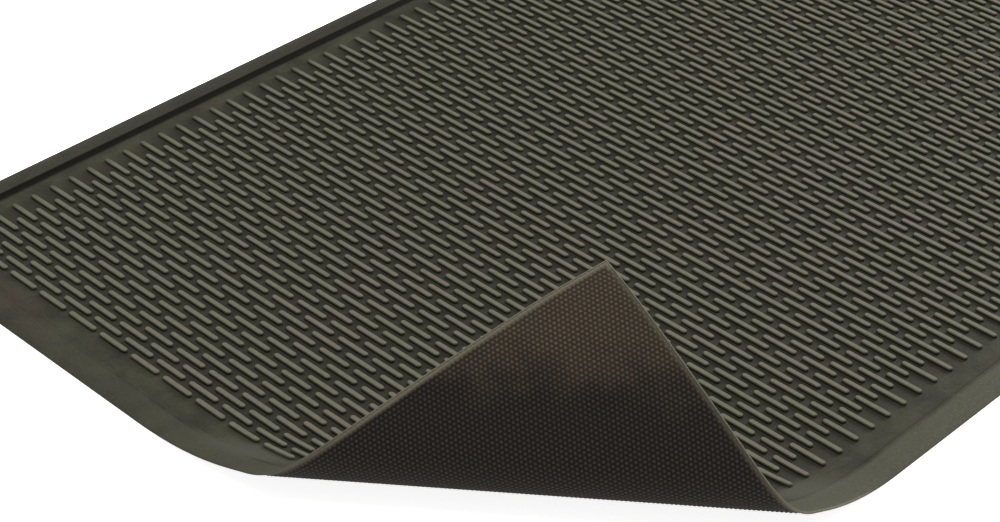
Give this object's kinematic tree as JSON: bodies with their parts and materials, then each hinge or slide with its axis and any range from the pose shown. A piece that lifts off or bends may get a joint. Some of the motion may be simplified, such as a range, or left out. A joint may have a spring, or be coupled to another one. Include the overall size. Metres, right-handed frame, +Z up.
{
  "type": "anti fatigue mat",
  "caption": "Flat cushioned rubber floor mat with a ramped border, a recessed tray of raised bars in offset rows, and one corner folded up and over to show its dotted underside.",
  "frame": {"origin": "middle of the mat's footprint, on the floor", "axes": "+X across the mat's width, +Y along its length away from the folded corner's end, +Z up; the corner at +X, -Y is the folded one"},
  "size_m": [0.9144, 1.524, 0.1837],
  "materials": {
    "tread_rubber": "matt moulded rubber, slightly greenish charcoal, with a dusty bloom on the bar tops",
    "core_foam": "matt closed-cell foam rubber, not visible",
    "backing_rubber": "matt brownish black rubber with a fine field of small raised dots"
  },
  "bodies": {
    "main": {"tread_main": "tread_rubber", "core_main": "core_foam", "backing_main": "backing_rubber"},
    "lift_1": {"tread_lift_1": "tread_rubber", "core_lift_1": "core_foam", "backing_lift_1": "backing_rubber"},
    "lift_2": {"tread_lift_2": "tread_rubber", "core_lift_2": "core_foam", "backing_lift_2": "backing_rubber"},
    "loop_1": {"tread_loop_1": "tread_rubber", "core_loop_1": "core_foam", "backing_loop_1": "backing_rubber"},
    "loop_2": {"tread_loop_2": "tread_rubber", "core_loop_2": "core_foam", "backing_loop_2": "backing_rubber"},
    "loop_3": {"tread_loop_3": "tread_rubber", "core_loop_3": "core_foam", "backing_loop_3": "backing_rubber"},
    "loop_4": {"tread_loop_4": "tread_rubber", "core_loop_4": "core_foam", "backing_loop_4": "backing_rubber"},
    "loop_5": {"tread_loop_5": "tread_rubber", "core_loop_5": "core_foam", "backing_loop_5": "backing_rubber"},
    "loop_6": {"tread_loop_6": "tread_rubber", "core_loop_6": "core_foam", "backing_loop_6": "backing_rubber"},
    "lower_flap": {"tread_lower_flap": "tread_rubber", "core_lower_flap": "core_foam", "backing_lower_flap": "backing_rubber"},
    "upper_flap": {"tread_upper_flap": "tread_rubber", "core_upper_flap": "core_foam", "backing_upper_flap": "backing_rubber"},
    "corner": {"tread_corner": "tread_rubber", "backing_corner": "backing_rubber"}
  },
  "joints": [
    {"name": "fold_1", "type": "hinge", "parent": "main", "child": "lift_1", "pos_m": [0.26978, -0.52596, 0], "axis": [0.7832, 0.6218, 0], "range_deg": [0, 14.3]},
    {"name": "fold_2", "type": "hinge", "parent": "lift_1", "child": "lift_2", "pos_m": [0.29244, -0.55449, 0.00929], "axis": [0.7832, 0.6218, 0], "range_deg": [0, 14.3]},
    {"name": "fold_3", "type": "hinge", "parent": "lift_2", "child": "loop_1", "pos_m": [0.31296, -0.58035, 0.02729], "axis": [0.7832, 0.6218, 0], "range_deg": [0, 14.3]},
    {"name": "fold_4", "type": "hinge", "parent": "loop_1", "child": "loop_2", "pos_m": [0.31693, -0.58534, 0.03321], "axis": [0.7832, 0.6218, 0], "range_deg": [0, 14.3]},
    {"name": "fold_5", "type": "hinge", "parent": "loop_2", "child": "loop_3", "pos_m": [0.31986, -0.58903, 0.04052], "axis": [0.7832, 0.6218, 0], "range_deg": [0, 14.3]},
    {"name": "fold_6", "type": "hinge", "parent": "loop_3", "child": "loop_4", "pos_m": [0.32157, -0.59119, 0.04877], "axis": [0.7832, 0.6218, 0], "range_deg": [0, 14.3]},
    {"name": "fold_7", "type": "hinge", "parent": "loop_4", "child": "loop_5", "pos_m": [0.32197, -0.59169, 0.05745], "axis": [0.7832, 0.6218, 0], "range_deg": [0, 14.3]},
    {"name": "fold_8", "type": "hinge", "parent": "loop_5", "child": "loop_6", "pos_m": [0.32102, -0.59049, 0.06601], "axis": [0.7832, 0.6218, 0], "range_deg": [0, 14.3]},
    {"name": "fold_9", "type": "hinge", "parent": "loop_6", "child": "lower_flap", "pos_m": [0.31879, -0.58768, 0.07394], "axis": [0.7832, 0.6218, 0], "range_deg": [0, 14.3]},
    {"name": "fold_10", "type": "hinge", "parent": "lower_flap", "child": "upper_flap", "pos_m": [0.29041, -0.55193, 0.13091], "axis": [0.7832, 0.6218, 0], "range_deg": [0, 14.3]},
    {"name": "fold_11", "type": "hinge", "parent": "upper_flap", "child": "corner", "pos_m": [0.25862, -0.51191, 0.16942], "axis": [0.7832, 0.6218, 0], "range_deg": [0, 14.3]}
  ],
  "couplings": [
    {"joint": "fold_2", "follows": "fold_1", "ratio": 1},
    {"joint": "fold_3", "follows": "fold_1", "ratio": 1},
    {"joint": "fold_4", "follows": "fold_1", "ratio": 1},
    {"joint": "fold_5", "follows": "fold_1", "ratio": 1},
    {"joint": "fold_6", "follows": "fold_1", "ratio": 1},
    {"joint": "fold_7", "follows": "fold_1", "ratio": 1},
    {"joint": "fold_8", "follows": "fold_1", "ratio": 1},
    {"joint": "fold_9", "follows": "fold_1", "ratio": 1},
    {"joint": "fold_10", "follows": "fold_1", "ratio": 1},
    {"joint": "fold_11", "follows": "fold_1", "ratio": 1}
  ]
}
